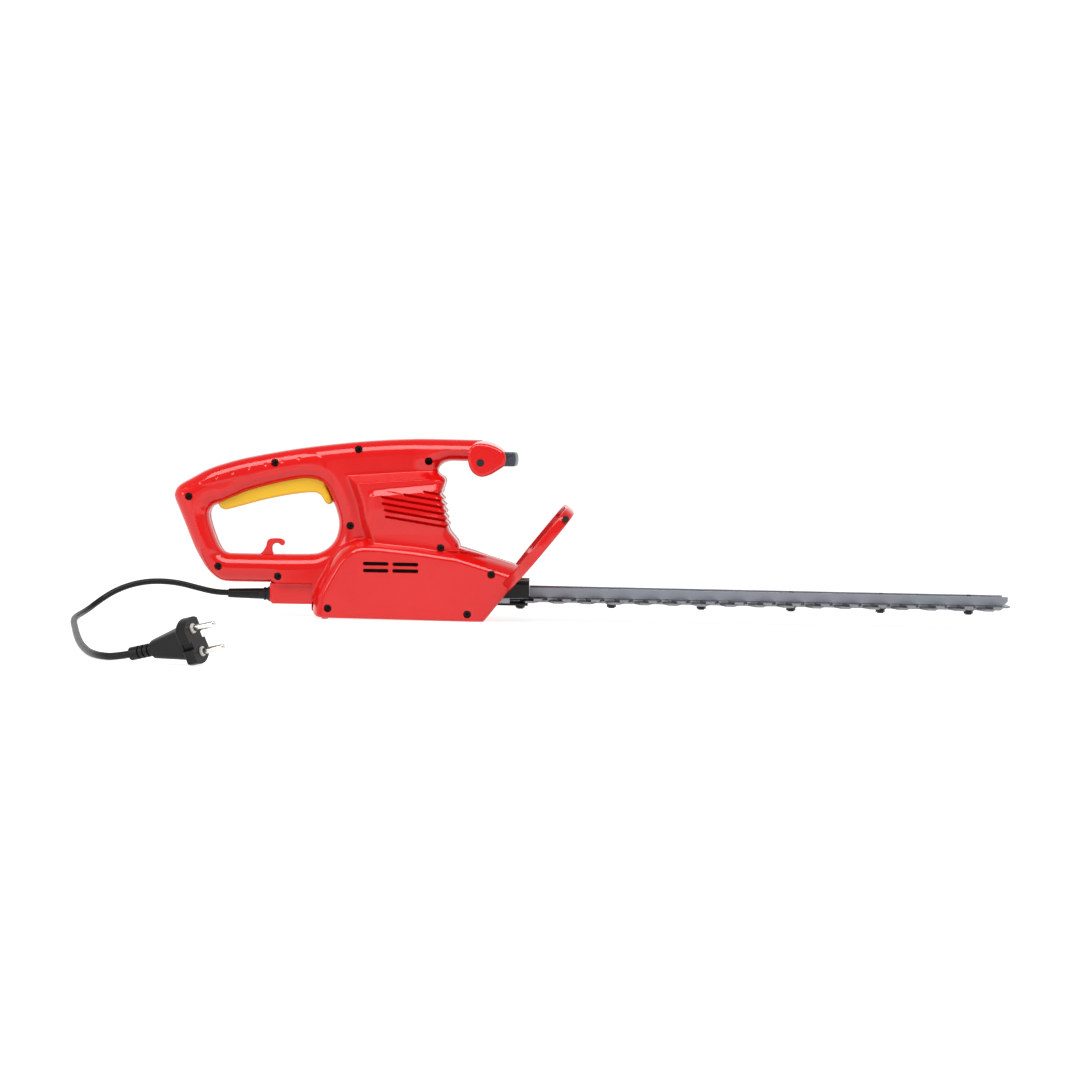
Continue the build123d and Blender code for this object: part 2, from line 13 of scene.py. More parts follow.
import bpy
import numpy as np
from mathutils import Matrix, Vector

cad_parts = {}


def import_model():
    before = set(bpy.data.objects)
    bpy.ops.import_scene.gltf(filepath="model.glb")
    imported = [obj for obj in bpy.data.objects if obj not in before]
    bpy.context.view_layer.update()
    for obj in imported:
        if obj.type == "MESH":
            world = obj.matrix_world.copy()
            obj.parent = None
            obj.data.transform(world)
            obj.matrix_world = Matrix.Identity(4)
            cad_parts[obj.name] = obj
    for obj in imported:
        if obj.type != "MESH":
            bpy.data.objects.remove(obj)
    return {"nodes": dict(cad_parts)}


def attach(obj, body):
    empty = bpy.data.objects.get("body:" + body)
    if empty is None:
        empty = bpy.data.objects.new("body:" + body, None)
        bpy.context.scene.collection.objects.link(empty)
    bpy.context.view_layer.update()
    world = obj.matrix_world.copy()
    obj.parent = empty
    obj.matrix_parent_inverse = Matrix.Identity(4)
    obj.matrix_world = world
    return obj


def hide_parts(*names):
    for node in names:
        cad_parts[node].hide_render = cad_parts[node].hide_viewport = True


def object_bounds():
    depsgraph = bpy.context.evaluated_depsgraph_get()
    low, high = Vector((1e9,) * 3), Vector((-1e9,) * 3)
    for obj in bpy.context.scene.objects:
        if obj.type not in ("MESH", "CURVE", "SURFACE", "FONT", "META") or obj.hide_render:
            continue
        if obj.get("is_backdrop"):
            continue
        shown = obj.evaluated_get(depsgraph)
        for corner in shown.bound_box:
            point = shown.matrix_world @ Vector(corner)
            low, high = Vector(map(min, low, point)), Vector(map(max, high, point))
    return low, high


MM = 0.001
LOG = logging.getLogger("hedge_trimmer")
Pair = tuple[float, float]
Triple = tuple[float, float, float]
Points = Sequence[Pair]
Surface = tuple[np.ndarray, list[tuple[int, ...]]]


# -------- shader maths
class Value:
    """A number socket that can be used in a Python expression."""

    def __init__(self, tree: "Tree", socket: Any) -> None:
        """Wraps one socket of a node tree."""
        self.tree = tree
        self.socket = socket

    def _op(self, operation: str, *others: Any) -> "Value":
        """Adds one Math node working on this value and the others."""
        inputs = {0: self}
        inputs.update({i + 1: other for i, other in enumerate(others)})
        return self.tree.node("ShaderNodeMath", {"operation": operation}, inputs)

    def __add__(self, other: Any) -> "Value":
        """Sum."""
        return self._op("ADD", other)

    __radd__ = __add__

    def __sub__(self, other: Any) -> "Value":
        """Difference."""
        return self._op("SUBTRACT", other)

    def __rsub__(self, other: Any) -> "Value":
        """Difference taken the other way round."""
        return self.tree.node("ShaderNodeMath", {"operation": "SUBTRACT"}, {0: other, 1: self})

    def __mul__(self, other: Any) -> "Value":
        """Product."""
        return self._op("MULTIPLY", other)

    __rmul__ = __mul__

    def smooth(self, low: float, high: float) -> "Value":
        """Smooth step from 0 at low to 1 at high."""
        return self.tree.node("ShaderNodeMapRange", {"interpolation_type": "SMOOTHSTEP"},
                              {"Value": self, "From Min": low, "From Max": high})


class Tree:
    """The node tree of one material."""

    def __init__(self, name: str) -> None:
        """Starts a material that holds only a Principled shader."""
        self.material = bpy.data.materials.new(name)
        self.material.use_nodes = True
        self.nodes = self.material.node_tree.nodes
        self.links = self.material.node_tree.links
        self.shader = next(n for n in self.nodes if n.type == "BSDF_PRINCIPLED")

    def put(self, socket: Any, value: Any) -> None:
        """Sets a socket to a number or colour, or links it to a value."""
        if isinstance(value, Value):
            self.links.new(value.socket, socket)
        elif isinstance(value, tuple) and len(value) == 3 and socket.type == "RGBA":
            socket.default_value = (*value, 1.0)
        else:
            socket.default_value = value

    def set(self, name: str, value: Any) -> None:
        """Sets or links one of the shader's sockets."""
        self.put(self.shader.inputs[name], value)

    def node(self, kind: str, settings: dict[str, Any], inputs: dict[Any, Any], out: Any = 0) -> Value:
        """Adds a node.

        Args:
            kind: the node's type name.
            settings: its own settings, set before its sockets.
            inputs: socket name or number to a number, a colour or a value.
            out: the output wanted, by name or number.

        Returns:
            The output as a value.
        """
        made = self.nodes.new(kind)
        for key, setting in settings.items():
            setattr(made, key, setting)
        for key, value in inputs.items():
            self.put(made.inputs[key], value)
        return Value(self, made.outputs[out])

    def place(self) -> Value:
        """Object coordinates, in metres."""
        return self.node("ShaderNodeTexCoord", {}, {}, "Object")

    def noise(self, scale: float, detail: float = 2.0, stretch: Triple = (1, 1, 1)) -> Value:
        """Noise on object coordinates.

        Args:
            scale: cells per metre.
            detail: octaves.
            stretch: scale along each axis, for brushed or drawn metal.

        Returns:
            The noise, from 0 to 1.
        """
        at = self.node("ShaderNodeMapping", {}, {"Vector": self.place(), "Scale": stretch})
        return self.node("ShaderNodeTexNoise", {}, {"Vector": at, "Scale": scale, "Detail": detail})

    def mix(self, factor: Any, a: Any, b: Any) -> Value:
        """Colour a where factor is 0 and colour b where it is 1."""
        return self.node("ShaderNodeMix", {"data_type": "RGBA"}, {0: factor, 6: a, 7: b}, 2)

    def bump(self, height: Value, strength: float, distance: float) -> Value:
        """Normal bent by a height in metres times distance."""
        return self.node("ShaderNodeBump", {}, {"Height": height, "Strength": strength, "Distance": distance}, 0)


# -------- finishes
@dataclass(frozen=True)
class Moulded:
    """Injection moulded plastic: fine orange peel and a little uneven gloss."""

    name: str
    colour: Triple
    roughness: float = 0.28
    peel: float = 0.05

    def make(self) -> bpy.types.Material:
        """Builds the material."""
        t = Tree(self.name)
        slow = t.noise(14.0, 3.0)
        smear = t.noise(60.0, 4.0, (1, 1, 0.35))
        dark = tuple(c * 0.94 for c in self.colour)
        t.set("Base Color", t.mix(slow.smooth(0.3, 0.7), dark, self.colour))
        t.set("Roughness", smear.smooth(0.35, 0.75) * 0.04 + (self.roughness - 0.015))
        t.set("Normal", t.bump(t.noise(900.0, 2.0), self.peel, 0.0004))
        return t.material


@dataclass(frozen=True)
class Metal:
    """Bare or plated metal with drawn or ground lines."""

    name: str
    colour: Triple
    roughness: float = 0.35
    stretch: Triple = (0.06, 1, 1)
    lines: float = 900.0
    depth: float = 0.12
    tarnish: Triple = (0.3, 0.29, 0.28)

    def make(self) -> bpy.types.Material:
        """Builds the material."""
        t = Tree(self.name)
        line = t.noise(self.lines, 3.0, self.stretch)
        cloud = t.noise(30.0, 4.0)
        t.set("Base Color", t.mix(cloud.smooth(0.5, 0.85) * 0.35, self.colour, self.tarnish))
        t.set("Metallic", 1.0)
        t.set("Roughness", line * 0.16 + cloud * 0.08 + (self.roughness - 0.12))
        t.set("Normal", t.bump(line, self.depth, 0.0003))
        return t.material


@dataclass(frozen=True)
class Blackened:
    """Black coated or blackened metal, worn to bare metal in small specks."""

    name: str
    colour: Triple = (0.012, 0.012, 0.013)
    roughness: float = 0.38
    texture: float = 1400.0
    depth: float = 0.2

    def make(self) -> bpy.types.Material:
        """Builds the material."""
        t = Tree(self.name)
        fine = t.noise(self.texture, 3.0)
        speck = t.noise(420.0, 4.0).smooth(0.68, 0.76)
        t.set("Base Color", t.mix(speck * 0.5, self.colour, (0.12, 0.12, 0.12)))
        t.set("Metallic", speck * 0.7)
        t.set("Roughness", fine * 0.2 + (self.roughness - 0.1))
        t.set("Specular IOR Level", 0.25)
        t.set("Normal", t.bump(fine, self.depth, 0.0003))
        return t.material


@dataclass(frozen=True)
class Rubber:
    """Soft black PVC or rubber with a dull skin and faint dust."""

    name: str
    colour: Triple = (0.006, 0.006, 0.0065)
    roughness: float = 0.42

    def make(self) -> bpy.types.Material:
        """Builds the material."""
        t = Tree(self.name)
        fine = t.noise(1600.0, 3.0)
        dust = t.noise(55.0, 5.0).smooth(0.52, 0.8)
        t.set("Base Color", t.mix(dust * 0.2, self.colour, (0.04, 0.039, 0.037)))
        t.set("Roughness", fine * 0.12 + dust * 0.14 + (self.roughness - 0.08))
        t.set("Specular IOR Level", 0.22)
        t.set("Normal", t.bump(fine, 0.25, 0.0002))
        return t.material


@dataclass(frozen=True)
class Winding:
    """Enamelled copper wire wound in layers; the bands are darker where the bump is low, painted shade between the
    turns.
    """

    name: str
    colour: Triple = (0.45, 0.13, 0.04)

    def make(self) -> bpy.types.Material:
        """Builds the material."""
        t = Tree(self.name)
        wave = t.node("ShaderNodeTexWave", {"bands_direction": "Z"},
                      {"Vector": t.place(), "Scale": 330.0, "Distortion": 1.5, "Detail": 1.0})
        # Base colour falls to 0.35 of the copper where the wave, and so the bump, is low: painted shade in the grooves
        # between turns.
        t.set("Base Color", t.mix(wave, tuple(c * 0.35 for c in self.colour), self.colour))
        t.set("Metallic", 0.6)
        t.set("Roughness", 0.45 - wave * 0.15)
        t.set("Normal", t.bump(wave, 0.6, 0.0005))
        return t.material


class Finish(Enum):
    """Every finish on the tool."""

    RED = Moulded("red_housing_plastic", (0.60, 0.0045, 0.004), 0.13, 0.012)
    RED_GUARD = Moulded("red_guard_plastic", (0.60, 0.006, 0.005), 0.18, 0.02)
    YELLOW = Moulded("yellow_trigger_plastic", (0.74, 0.43, 0.012), 0.30, 0.04)
    SLATE = Moulded("slate_switch_bar_plastic", (0.035, 0.047, 0.062), 0.36, 0.08)
    BLACK = Moulded("black_plastic", (0.012, 0.012, 0.013), 0.42, 0.12)
    PLUG = Rubber("black_plug_pvc", (0.006, 0.006, 0.0065), 0.38)
    DARK_FAN = Moulded("dark_fan_plastic", (0.03, 0.03, 0.033), 0.5, 0.1)
    PALE = Moulded("pale_collar_plastic", (0.62, 0.62, 0.58), 0.45, 0.08)
    FILM = Moulded("amber_capacitor_film", (0.45, 0.27, 0.04), 0.25, 0.05)
    # SHADOW is not a finish of the tool: it is near-black painted shade for the insides of screw holes and vents.
    SHADOW = Moulded("unlit_recess", (0.004, 0.003, 0.003), 0.8, 0.0)
    RAIL = Metal("satin_rail_steel", (0.31, 0.325, 0.37), 0.46, (0.04, 1, 1), 1100.0, 0.1)
    BLADE = Metal("ground_blade_steel", (0.30, 0.31, 0.33), 0.36, (1, 0.06, 1), 1300.0, 0.22, (0.14, 0.14, 0.15))
    GUIDE = Metal("grey_guide_steel", (0.36, 0.37, 0.39), 0.45, (0.1, 1, 1), 900.0, 0.15)
    GEAR = Metal("oiled_gear_steel", (0.32, 0.32, 0.33), 0.3, (1, 1, 0.1), 1200.0, 0.1)
    ZINC = Metal("zinc_plated_steel", (0.62, 0.62, 0.58), 0.32, (1, 1, 0.3), 700.0, 0.06)
    NICKEL = Metal("nickel_plug_pin", (0.78, 0.75, 0.70), 0.18, (0.2, 1, 1), 900.0, 0.04, (0.5, 0.46, 0.4))
    BRASS = Metal("brass", (0.72, 0.48, 0.18), 0.3, (1, 1, 0.1), 900.0, 0.08, (0.35, 0.22, 0.1))
    BRONZE = Metal("sintered_bronze", (0.45, 0.28, 0.12), 0.5, (1, 1, 1), 1500.0, 0.3, (0.2, 0.13, 0.07))
    LAMINATION = Metal("stacked_motor_steel", (0.18, 0.18, 0.20), 0.5, (0.02, 0.02, 1), 1600.0, 0.5)
    CARBON = Rubber("carbon_brush_block", (0.02, 0.02, 0.02), 0.6)
    CASE = Blackened("black_cast_gear_case", (0.010, 0.010, 0.011), 0.42, 700.0, 0.35)
    FASTENER = Blackened("blackened_fastener", (0.014, 0.014, 0.015), 0.32, 1500.0, 0.12)
    JACKET = Rubber("cord_jacket", (0.006, 0.006, 0.0065), 0.40)
    SLEEVE = Rubber("bend_sleeve_rubber", (0.008, 0.008, 0.0085), 0.46)
    COPPER = Winding("enamelled_copper")


class Palette:
    """Makes each finish once and hands it out."""

    def __init__(self) -> None:
        """Starts with no material made."""
        self.made: dict[Finish, bpy.types.Material] = {}

    def of(self, finish: Finish) -> bpy.types.Material:
        """The material of a finish, built when it is first asked for."""
        if finish not in self.made:
            self.made[finish] = finish.value.make()
        return self.made[finish]


# -------- curves and meshes
def rounded_path(groups: Sequence[Points], step: float = 1.2) -> np.ndarray:
    """Closed outline made of smooth runs that meet at corners.

    Each group is one run. Between points i and i+1 of a run the curve is the Catmull-Rom cubic, whose
    slope at a point is half the chord from the point before to the point after; at a run's ends the
    missing neighbour is the end point mirrored, so a run arrives straight at its corner.

    Args:
        groups: runs of (x, z) points; each run ends where the next begins.
        step: wanted spacing of the points.

    Returns:
        The outline's points, one row each, not repeated at the end.
    """
    pieces = []
    for k, group in enumerate(groups):
        nxt = groups[(k + 1) % len(groups)][0]
        p = np.array([*group, nxt], float)
        if len(groups) == 1:
            padded = np.vstack([p[-2], p, p[1]])
        else:
            padded = np.vstack([2 * p[0] - p[1], p, 2 * p[-1] - p[-2]])
        for a, b, c, d in zip(padded, padded[1:], padded[2:], padded[3:]):
            count = max(1, int(round(np.linalg.norm(c - b) / step)))
            t = (np.arange(count) / count)[:, None]
            pieces.append(0.5 * (2 * b + (c - a) * t + (2 * a - 5 * b + 4 * c - d) * t ** 2
                                 + (3 * b - a - 3 * c + d) * t ** 3))
    return np.vstack(pieces)


def edge_distance(at: np.ndarray, line: np.ndarray, closed: bool = True) -> tuple[np.ndarray, np.ndarray]:
    """Distance from points to a line of straight pieces, and the nearest point on it.

    For each piece from a to b the nearest parameter is the dot product of (p - a) and (b - a) over the
    piece's squared length, held between 0 and 1.

    Args:
        at: points, one row each.
        line: the line's points.
        closed: whether the last point joins the first.

    Returns:
        Distances, and nearest points.
    """
    a = line if closed else line[:-1]
    b = np.roll(line, -1, axis=0) if closed else line[1:]
    run = b - a
    length = (run ** 2).sum(1)
    best = np.full(len(at), 1e9)
    near = np.zeros_like(at)
    for lo in range(0, len(at), 4000):
        p = at[lo:lo + 4000, None, :]
        t = np.clip(((p - a) * run).sum(2) / length, 0, 1)
        q = a + t[..., None] * run
        d = ((p - q) ** 2).sum(2)
        i = d.argmin(1)
        rows = np.arange(len(i))
        best[lo:lo + 4000] = np.sqrt(d[rows, i])
        near[lo:lo + 4000] = q[rows, i]
    return best, near


def is_inside(at: np.ndarray, loop: np.ndarray) -> np.ndarray:
    """Whether points lie in a closed outline: a level ray from each crosses it an odd number of times."""
    odd = np.zeros(len(at), bool)
    x, z = at.T
    for (x0, z0), (x1, z1) in zip(loop, np.roll(loop, -1, axis=0)):
        if z0 == z1:
            continue
        odd ^= ((z0 > z) != (z1 > z)) & (x < (x1 - x0) * (z - z0) / (z1 - z0) + x0)
    return odd


def depth_in(at: np.ndarray, loop: np.ndarray) -> np.ndarray:
    """How far points lie inside a closed outline; negative outside."""
    distance, _ = edge_distance(at, loop)
    return np.where(is_inside(at, loop), distance, -distance)


def ramp(value: np.ndarray, low: float, high: float) -> np.ndarray:
    """Smooth step from 0 at low to 1 at high: 3t^2 - 2t^3."""
    t = np.clip((value - low) / (high - low), 0, 1)
    return t * t * (3 - 2 * t)


def quarter(t: np.ndarray) -> np.ndarray:
    """Quarter round from 0 to 1: the square root of 1 - (1 - t)^2."""
    return np.sqrt(np.clip(1 - (1 - np.clip(t, 0, 1)) ** 2, 0, 1))


def soft_max(a: np.ndarray, b: np.ndarray, width: float) -> np.ndarray:
    """The larger of two heights, blended over a width: half of a + b plus the root of (a - b)^2 + width^2."""
    return 0.5 * (a + b + np.sqrt((a - b) ** 2 + width ** 2)) - 0.25 * width


def link(name: str, data: Any) -> bpy.types.Object:
    """Makes an object from its data and puts it in the scene."""
    made = bpy.data.objects.new(name, data)
    bpy.context.scene.collection.objects.link(made)
    return made


def make_mesh(name: str, surface: Surface, finish: bpy.types.Material, body: str,
              replaces: Iterable[str] = (), sharp: float = 40.0) -> bpy.types.Object:
    """Puts a surface in the scene, smooth but for its end faces, which have more than four corners.

    Args:
        name: the piece's name.
        surface: its points in millimetres, and its faces.
        finish: its material.
        body: the body it rides on.
        replaces: nodes it stands for.
        sharp: angle in degrees above which an edge stays crisp.

    Returns:
        The new object.
    """
    mesh = bpy.data.meshes.new(name)
    mesh.from_pydata((surface[0] * MM).tolist(), [], [list(map(int, f)) for f in surface[1]])
    mesh.validate()
    mesh.shade_smooth()
    mesh.set_sharp_from_angle(angle=math.radians(sharp))
    mesh.polygons.foreach_set("use_smooth", [p.loop_total <= 4 for p in mesh.polygons])
    mesh.materials.append(finish)
    made = link(name, mesh)
    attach(made, body)
    if replaces:
        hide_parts(*replaces)
    LOG.info("%s: %d faces", name, len(mesh.polygons))
    return made


def tube_faces(rings: int, around: int, flip: bool = False) -> list[tuple[int, ...]]:
    """Faces of a grid that closes round its second direction."""
    i, j = np.meshgrid(np.arange(rings - 1), np.arange(around), indexing="ij")
    k = (j + 1) % around
    quads = np.stack([i * around + j, (i + 1) * around + j, (i + 1) * around + k, i * around + k], -1).reshape(-1, 4)
    return [tuple(q) for q in (quads[:, ::-1] if flip else quads)]


def closed_tube(rings: Sequence[np.ndarray], flip: bool) -> Surface:
    """Rings of points joined by side faces, with a flat face over each end.

    Args:
        rings: the points of each ring, as many in each.
        flip: whether all faces turn the other way round.

    Returns:
        Points and faces.
    """
    n = len(rings[0])
    last = (len(rings) - 1) * n
    ends = [tuple(range(n)), tuple(range(last, last + n))[::-1]]
    faces = tube_faces(len(rings), n, flip) + [end[::-1] if flip else end for end in ends]
    return np.vstack(rings), faces


def signed_area(loop: np.ndarray) -> float:
    """Area of a closed outline, positive when it runs anticlockwise."""
    nxt = np.roll(loop, -1, axis=0)
    return 0.5 * float((loop[:, 0] * nxt[:, 1] - nxt[:, 0] * loop[:, 1]).sum())


def inward(loop: np.ndarray) -> np.ndarray:
    """Unit normals of a closed outline that point into it: the chord between neighbours, turned a quarter."""
    run = np.roll(loop, -1, axis=0) - np.roll(loop, 1, axis=0)
    run /= np.linalg.norm(run, axis=1)[:, None] + 1e-12
    normal = np.stack([-run[:, 1], run[:, 0]], 1)
    return normal if signed_area(loop) > 0 else -normal


def rounded_block(loop: np.ndarray, half: float, radius: float, steps: int = 5) -> Surface:
    """Body with a closed X-Z outline, rounded where its two side faces begin.

    The outline is carried across Y. Over each rounding it moves inward by radius (1 - cos a) while Y
    moves out by radius sin a, for a from 0 to 90 degrees. The side faces are flat.

    Args:
        loop: the outline.
        half: half width.
        radius: edge rounding.
        steps: rings in each rounding.

    Returns:
        Points and faces.
    """
    normal = inward(loop)
    angles = np.linspace(0, math.pi / 2, steps + 1)
    rings = []
    for side in (-1, 1):
        for a in (angles[::-1] if side < 0 else angles):
            flat = loop + normal * radius * (1 - math.cos(a))
            y = side * (half - radius + radius * math.sin(a))
            rings.append(np.stack([flat[:, 0], np.full(len(flat), y), flat[:, 1]], 1))
    return closed_tube(rings, signed_area(loop) < 0)


def turned(profile: Points, around: int) -> Surface:
    """Surface of revolution about X: every (x, r) of the profile swept as a circle of radius r.

    Args:
        profile: (x, radius) from one end to the other, with no radius of zero.
        around: points round each circle.

    Returns:
        Points and faces, with a flat face closing each end.
    """
    p = np.array(profile, float)
    a = np.linspace(0, 2 * math.pi, around, endpoint=False)
    rings = [np.stack([np.full(around, x), r * np.cos(a), r * np.sin(a)], 1) for x, r in p]
    return closed_tube(rings, bool(p[-1, 0] > p[0, 0]))


def loft_across(loop: np.ndarray, ys: np.ndarray, change: Callable[[np.ndarray, float], np.ndarray]) -> Surface:
    """Body made by carrying an X-Z outline through stations across Y, changing it at each.

    Args:
        loop: the outline.
        ys: the stations.
        change: gives the outline at one station.

    Returns:
        Points and faces, closed by a flat face at each end.
    """
    rings = []
    for y in ys:
        flat = change(loop, float(y))
        rings.append(np.stack([flat[:, 0], np.full(len(flat), y), flat[:, 1]], 1))
    return closed_tube(rings, signed_area(loop) < 0)


# -------- camera, floor and light
@dataclass
class Studio:
    """Camera at the height of the grip, a pale floor and large soft lights."""

    eye: Triple = (-0.0496, -2.0, 0.162)
    tilt_down: float = 2.45
    roll: float = 1.05
    lens: float = 70.1
    floor: float = 7.0
    floor_drop: float = 0.0004

    def set_camera(self) -> None:
        """Places the camera."""
        data = bpy.data.cameras.new("camera")
        data.lens = self.lens
        data.sensor_width = 36.0
        data.clip_end = 30.0
        camera = link("camera", data)
        tilt = Matrix.Rotation(math.radians(90 - self.tilt_down), 4, "X")
        camera.matrix_world = Matrix.Translation(self.eye) @ tilt @ Matrix.Rotation(math.radians(self.roll), 4, "Z")
        bpy.context.scene.camera = camera

    def set_floor(self) -> None:
        """Lays the floor; it glows a little, so it stays pale far behind the tool."""
        s, z = self.floor, -self.floor_drop
        mesh = bpy.data.meshes.new("floor")
        mesh.from_pydata([(-s, -s, z), (s, -s, z), (s, s, z), (-s, s, z)], [], [(0, 1, 2, 3)])
        t = Tree("pale_floor")
        grain = t.noise(3.0, 2.0)
        t.set("Base Color", t.mix(grain, (0.36, 0.36, 0.36), (0.40, 0.40, 0.40)))
        t.set("Roughness", 0.9)
        t.set("Emission Color", (1.0, 1.0, 1.0))
        t.set("Emission Strength", 0.82)
        mesh.materials.append(t.material)
        link("floor", mesh)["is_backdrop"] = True

    def lamp(self, name: str, at: Triple, aim: Triple,
             size: Pair, watts: float) -> None:
        """Adds one rectangular soft light that faces a point."""
        data = bpy.data.lights.new(name, "AREA")
        data.shape = "RECTANGLE"
        data.size, data.size_y = size
        data.energy = watts
        lamp = link(name, data)
        way = Matrix.Translation(at).to_translation() - Matrix.Translation(aim).to_translation()
        lamp.matrix_world = Matrix.Translation(at) @ way.to_track_quat("Z", "Y").to_matrix().to_4x4()

    def set_lights(self) -> None:
        """Hangs the soft lights and sets the surroundings.

        The surroundings are white up to 0.30 of the way to the zenith, measured along Z, and fall evenly to
        grey above, so glossy tops show a light's edges. Towards -Y they darken to a quarter, so that the
        flat sides keep their colour.
        """
        self.lamp("overhead", (-0.15, -0.95, 1.65), (-0.1, 0, 0.1), (2.6, 0.9), 42)
        self.lamp("side_fill", (-2.2, -1.6, 0.9), (-0.15, 0, 0.1), (0.9, 0.9), 10)
        world = bpy.data.worlds.new("surroundings")
        world.use_nodes = True
        nodes, links = world.node_tree.nodes, world.node_tree.links
        way = nodes.new("ShaderNodeTexCoord")
        split = nodes.new("ShaderNodeSeparateXYZ")
        links.new(way.outputs["Generated"], split.inputs[0])
        strength = nodes.new("ShaderNodeMath")
        strength.operation = "MULTIPLY"
        for i, (axis, *limits) in enumerate((("Z", 0.30, 0.85, 1.05, 0.30), ("Y", -1.0, 0.2, 0.25, 1.0))):
            fall = nodes.new("ShaderNodeMapRange")
            links.new(split.outputs[axis], fall.inputs["Value"])
            for key, value in zip(("From Min", "From Max", "To Min", "To Max"), limits):
                fall.inputs[key].default_value = value
            links.new(fall.outputs[0], strength.inputs[i])
        background = nodes["Background"]
        background.inputs["Color"].default_value = (1.0, 1.0, 1.0, 1.0)
        links.new(strength.outputs[0], background.inputs["Strength"])
        bpy.context.scene.world = world
        bpy.context.scene.view_settings.view_transform = "Standard"

    def build(self) -> None:
        """Sets up everything but the camera."""
        self.set_floor()
        self.set_lights()


# -------- mains lead
@dataclass
class MainsLead:
    """The cord from its clamp to the plug, and the sleeve where it leaves the housing."""

    radius: float = 2.8
    height: float = 20.6
    route: Sequence[Triple] = (
        (-281, 0, 20.6), (-347, 0, 20.6), (-361, -0.6, 21.8), (-375.5, -2.4, 25.4), (-390.5, -5, 29.4),
        (-406, -8.5, 31.3), (-421.5, -12.5, 30.9), (-436.5, -17.5, 27.6), (-450, -24, 21.8), (-461.5, -33, 13.6),
        (-469.5, -52, 5.4), (-471.6, -88, 2.8), (-463, -136, 2.8), (-448.8, -194, 2.8), (-430.5, -270, 2.8),
        (-411.5, -343, 2.8), (-396.5, -392, 2.8), (-387.5, -417, 2.8), (-377, -436, 2.8), (-363.8, -445.7, 2.9),
        (-349.1, -450.9, 6.2))
    sleeve: Points = ((-303.2, 5.2), (-304.2, 7.4), (-304.6, 7.6), (-306.2, 7.6), (-306.9, 7.1), (-308.4, 5.9),
                      (-309.4, 5.7), (-309.7, 6.2), (-311.4, 6.2), (-311.8, 5.6), (-312.2, 5.25), (-318, 5.1),
                      (-328, 4.8), (-338, 4.5), (-344.6, 4.3), (-345.3, 4.1), (-345.6, 3.7), (-345.6, 3.0),
                      (-344.0, 2.85))
    length: float = 0.643

    def build(self, palette: Palette) -> None:
        """Makes the cord and its sleeve."""
        curve = bpy.data.curves.new("cord", "CURVE")
        curve.dimensions = "3D"
        curve.bevel_depth = self.radius * MM
        curve.bevel_resolution = 6
        curve.use_fill_caps = True
        spline = curve.splines.new("NURBS")
        spline.points.add(len(self.route) - 1)
        for point, at in zip(spline.points, self.route):
            point.co = (at[0] * MM, at[1] * MM, at[2] * MM, 1.0)
        spline.order_u = 3
        spline.use_endpoint_u = True
        spline.resolution_u = 12
        curve.materials.append(palette.of(Finish.JACKET))
        cord = link("mains_cord", curve)
        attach(cord, "housing")
        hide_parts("cord")
        verts, faces = turned(self.sleeve, 56)
        verts[:, 2] += self.height
        make_mesh("bend_sleeve", (verts, faces), palette.of(Finish.SLEEVE), "housing",
                  ["strain_relief"])


